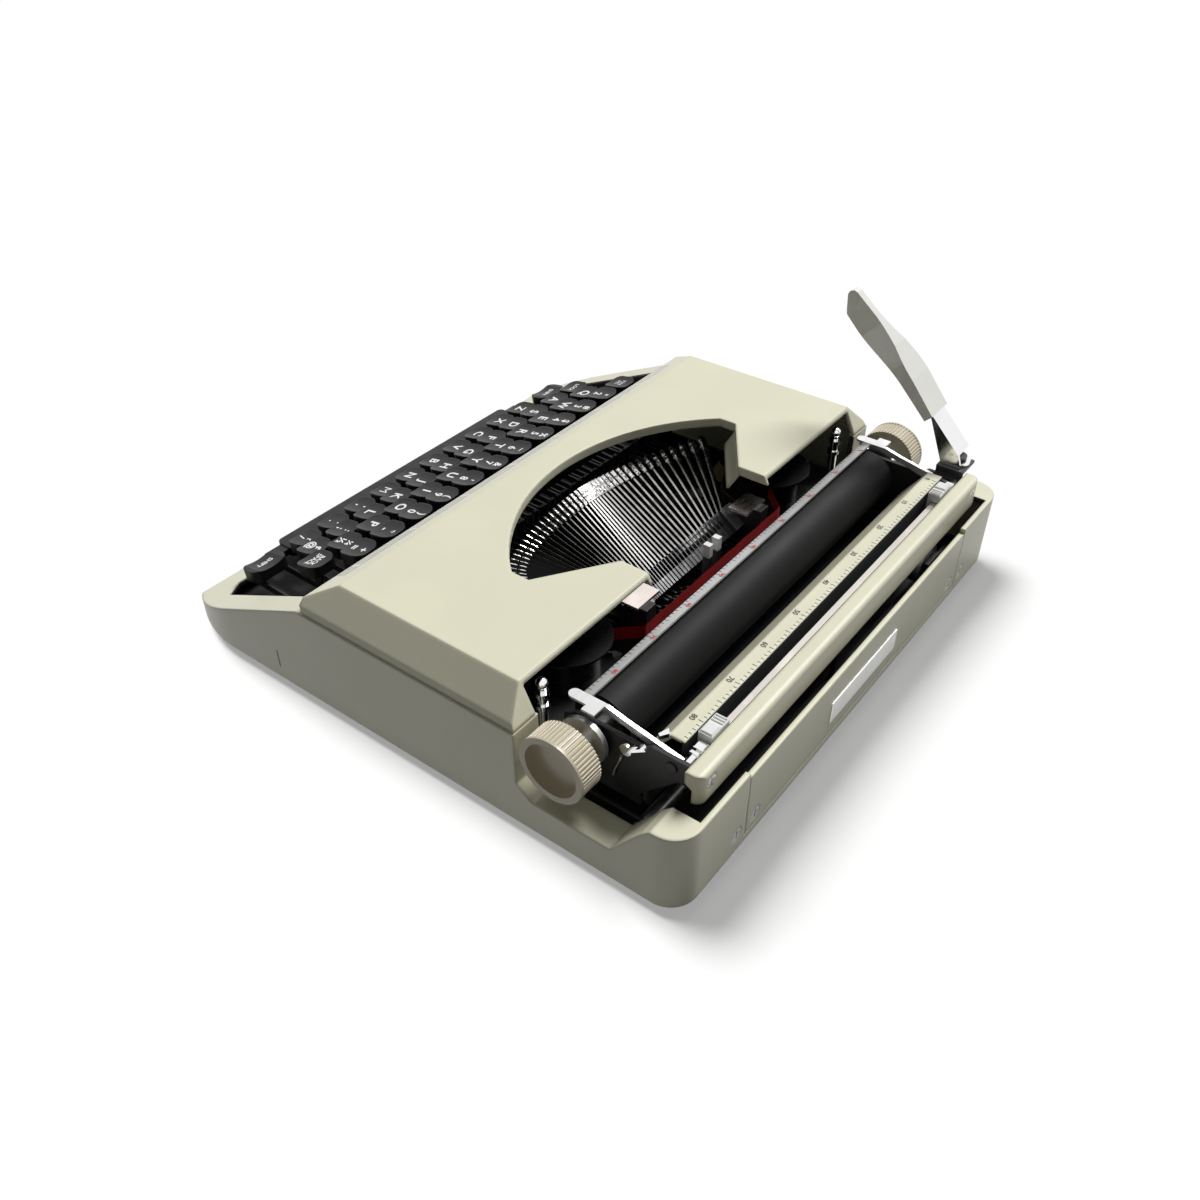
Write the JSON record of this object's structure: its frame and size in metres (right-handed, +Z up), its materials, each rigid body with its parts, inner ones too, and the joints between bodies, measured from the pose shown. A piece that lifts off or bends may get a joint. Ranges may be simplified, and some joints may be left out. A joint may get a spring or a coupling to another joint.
{
  "type": "manual typewriter",
  "caption": "Flat portable manual typewriter: sloped keyboard, hinged ribbon cover, open type basket and a sliding carriage with platen, knobs and return lever.",
  "frame": {"origin": "on the table under the middle of the case footprint", "axes": "+X to the typist's right, +Y away from the typist, +Z up"},
  "size_m": [0.2832, 0.287, 0.13],
  "materials": {
    "case_paint": "satin enamel, warm grey beige",
    "cover_paint": "satin enamel, cream",
    "dark_chassis": "matt black enamel",
    "bright_steel": "ground and nickel plated",
    "type_steel": "hardened, polished slugs",
    "segment_iron": "blackened casting with milled slots",
    "chrome_trim": "polished",
    "key_plastic": "satin black with moulded letters",
    "spool_plastic": "moulded black",
    "knob_plastic": "tan, fluted",
    "white_plastic": "moulded white",
    "grip_plastic": "cream, smooth",
    "platen_rubber": "ground matt rubber",
    "foot_rubber": "moulded",
    "rest_felt": "black sponge rubber pad on a steel bracket",
    "ribbon_cloth": "inked woven ribbon",
    "bell_brass": "turned",
    "trim_strip": "satin translucent strip"
  },
  "bodies": {
    "chassis": {"lower_case": "case_paint", "rear_panel": "case_paint", "case_screws": "bright_steel", "rubber_feet": "foot_rubber", "chassis_frame": "dark_chassis", "carriage_rails": "bright_steel", "key_fulcrum_rod": "bright_steel", "key_comb": "bright_steel", "type_segment": "segment_iron", "segment_wire": "bright_steel", "segment_plates": "chrome_trim", "type_guide": "white_plastic", "type_bars": "type_steel", "type_rest": "rest_felt", "ribbon_cups": "dark_chassis", "ribbon_posts": "chrome_trim", "ribbon": "ribbon_cloth", "margin_bell": "bell_brass"},
    "cover": {"ribbon_cover": "cover_paint", "cover_window_trim": "trim_strip", "cover_hinge_pins": "bright_steel"},
    "carriage": {"carriage_frame": "dark_chassis", "carriage_back": "case_paint", "paper_table": "cover_paint", "margin_rack": "chrome_trim", "carriage_screws": "bright_steel", "line_space_link": "bright_steel"},
    "platen": {"platen": "platen_rubber", "platen_shaft": "bright_steel", "platen_knob_left": "knob_plastic", "platen_knob_right": "knob_plastic", "line_ratchet": "bright_steel"},
    "feed_roller": {"feed_roller": "platen_rubber"},
    "bail": {"paper_bail": "chrome_trim"},
    "return_lever": {"return_lever_arm": "chrome_trim", "return_lever_grip": "grip_plastic"},
    "left_stop": {"margin_stop_left": "white_plastic"},
    "right_stop": {"margin_stop_right": "white_plastic"},
    "paper_release": {"paper_release_lever": "chrome_trim"},
    "number_row": {"number_keys": "key_plastic", "number_levers": "bright_steel"},
    "upper_row": {"upper_keys": "key_plastic", "upper_levers": "bright_steel"},
    "home_row": {"home_keys": "key_plastic", "home_levers": "bright_steel"},
    "lower_row": {"lower_keys": "key_plastic", "lower_levers": "bright_steel"},
    "letter_h": {"letter_h_key": "key_plastic", "letter_h_lever": "bright_steel"},
    "h_type_bar": {"letter_h_type_bar": "type_steel"},
    "space": {"space_bar": "key_plastic"},
    "shift": {"shift_keys": "key_plastic", "shift_frame": "bright_steel"},
    "shift_lock": {"shift_lock_key": "key_plastic"},
    "back_space": {"back_space_key": "key_plastic"},
    "margin_release": {"margin_release_key": "key_plastic"},
    "left_spool": {"spool_left": "spool_plastic"},
    "right_spool": {"spool_right": "spool_plastic"},
    "spring_drum": {"mainspring_drum": "bright_steel"},
    "escapement": {"escape_wheel": "bright_steel"}
  },
  "joints": [
    {"name": "carriage_travel", "type": "slide", "parent": "chassis", "child": "carriage", "axis": [1, 0, 0], "range_m": [-0.1, 0.1]},
    {"name": "cover_lift", "type": "hinge", "parent": "chassis", "child": "cover", "pos_m": [0, -0.04545, 0.0552], "axis": [1, 0, 0], "range_deg": [0, 60]},
    {"name": "number_keys_press", "type": "hinge", "parent": "chassis", "child": "number_row", "pos_m": [0, 0.0475, 0.014], "axis": [1, 0, 0], "range_deg": [0, 3.1], "stiffness_Nm_per_rad": 4, "springref_deg": -5.73},
    {"name": "upper_keys_press", "type": "hinge", "parent": "chassis", "child": "upper_row", "pos_m": [0, 0.0475, 0.014], "axis": [1, 0, 0], "range_deg": [0, 3.1], "stiffness_Nm_per_rad": 4, "springref_deg": -5.73},
    {"name": "home_keys_press", "type": "hinge", "parent": "chassis", "child": "home_row", "pos_m": [0, 0.0475, 0.014], "axis": [1, 0, 0], "range_deg": [0, 2.9], "stiffness_Nm_per_rad": 4, "springref_deg": -5.73},
    {"name": "lower_keys_press", "type": "hinge", "parent": "chassis", "child": "lower_row", "pos_m": [0, 0.0475, 0.014], "axis": [1, 0, 0], "range_deg": [0, 2.59], "stiffness_Nm_per_rad": 4, "springref_deg": -5.73},
    {"name": "letter_h_press", "type": "hinge", "parent": "chassis", "child": "letter_h", "pos_m": [0, 0.0475, 0.014], "axis": [1, 0, 0], "range_deg": [0, 2.9], "stiffness_Nm_per_rad": 0.4, "springref_deg": -5.73},
    {"name": "h_type_bar_swing", "type": "hinge", "parent": "chassis", "child": "h_type_bar", "pos_m": [0, 0.0315, 0.022], "axis": [-1, 0, 0], "range_deg": [0, 105]},
    {"name": "space_bar_press", "type": "hinge", "parent": "chassis", "child": "space", "pos_m": [0, 0.0475, 0.014], "axis": [1, 0, 0], "range_deg": [0, 1.44], "stiffness_Nm_per_rad": 1.2, "springref_deg": -5.73},
    {"name": "shift_press", "type": "hinge", "parent": "chassis", "child": "shift", "pos_m": [0, 0.0475, 0.014], "axis": [1, 0, 0], "range_deg": [0, 2.4], "stiffness_Nm_per_rad": 1.5, "springref_deg": -5.73},
    {"name": "shift_lock_press", "type": "hinge", "parent": "chassis", "child": "shift_lock", "pos_m": [0, 0.0475, 0.014], "axis": [1, 0, 0], "range_deg": [0, 2.9], "stiffness_Nm_per_rad": 0.4, "springref_deg": -5.73},
    {"name": "back_space_press", "type": "hinge", "parent": "chassis", "child": "back_space", "pos_m": [0, 0.0475, 0.014], "axis": [1, 0, 0], "range_deg": [0, 3.1], "stiffness_Nm_per_rad": 0.4, "springref_deg": -5.73},
    {"name": "margin_release_press", "type": "hinge", "parent": "chassis", "child": "margin_release", "pos_m": [0, 0.0475, 0.014], "axis": [1, 0, 0], "range_deg": [0, 3.1], "stiffness_Nm_per_rad": 0.4, "springref_deg": -5.73},
    {"name": "platen_turn", "type": "hinge", "parent": "carriage", "child": "platen", "pos_m": [0, 0.0857, 0.0453], "axis": [1, 0, 0], "continuous": true},
    {"name": "feed_roller_turn", "type": "hinge", "parent": "carriage", "child": "feed_roller", "pos_m": [0, 0.0857, 0.0278], "axis": [1, 0, 0], "continuous": true},
    {"name": "bail_lift", "type": "hinge", "parent": "carriage", "child": "bail", "pos_m": [0, 0.1225, 0.051], "axis": [-1, 0, 0], "range_deg": [0, 30]},
    {"name": "return_lever_swing", "type": "hinge", "parent": "carriage", "child": "return_lever", "pos_m": [-0.1265, 0.1235, 0.0593], "axis": [0, 0, 1], "range_deg": [0, 35], "stiffness_Nm_per_rad": 0.6, "springref_deg": -11.46},
    {"name": "left_stop_slide", "type": "slide", "parent": "carriage", "child": "left_stop", "axis": [1, 0, 0], "range_m": [0, 0.09]},
    {"name": "right_stop_slide", "type": "slide", "parent": "carriage", "child": "right_stop", "axis": [1, 0, 0], "range_m": [-0.09, 0]},
    {"name": "paper_release_pull", "type": "hinge", "parent": "carriage", "child": "paper_release", "pos_m": [0.119, 0.1035, 0.0495], "axis": [1, 0, 0], "range_deg": [0, 25]},
    {"name": "left_spool_turn", "type": "hinge", "parent": "chassis", "child": "left_spool", "pos_m": [-0.082, 0.0455, 0.038], "axis": [0, 0, 1], "continuous": true},
    {"name": "right_spool_turn", "type": "hinge", "parent": "chassis", "child": "right_spool", "pos_m": [0.082, 0.0455, 0.038], "axis": [0, 0, 1], "continuous": true},
    {"name": "spring_drum_turn", "type": "hinge", "parent": "chassis", "child": "spring_drum", "pos_m": [-0.077, 0.129, 0.0305], "axis": [0, 1, 0], "range_deg": [-640, 640]},
    {"name": "escape_wheel_turn", "type": "hinge", "parent": "chassis", "child": "escapement", "pos_m": [0, 0.1247, 0.0332], "axis": [0, 1, 0], "range_deg": [-640, 640]}
  ],
  "couplings": [
    {"joint": "h_type_bar_swing", "follows": "letter_h_press", "ratio": 36.207},
    {"joint": "feed_roller_turn", "follows": "platen_turn", "ratio": -3.5},
    {"joint": "spring_drum_turn", "follows": "carriage_travel", "rad_per_m": 111.1},
    {"joint": "escape_wheel_turn", "follows": "carriage_travel", "rad_per_m": 111.1}
  ]
}
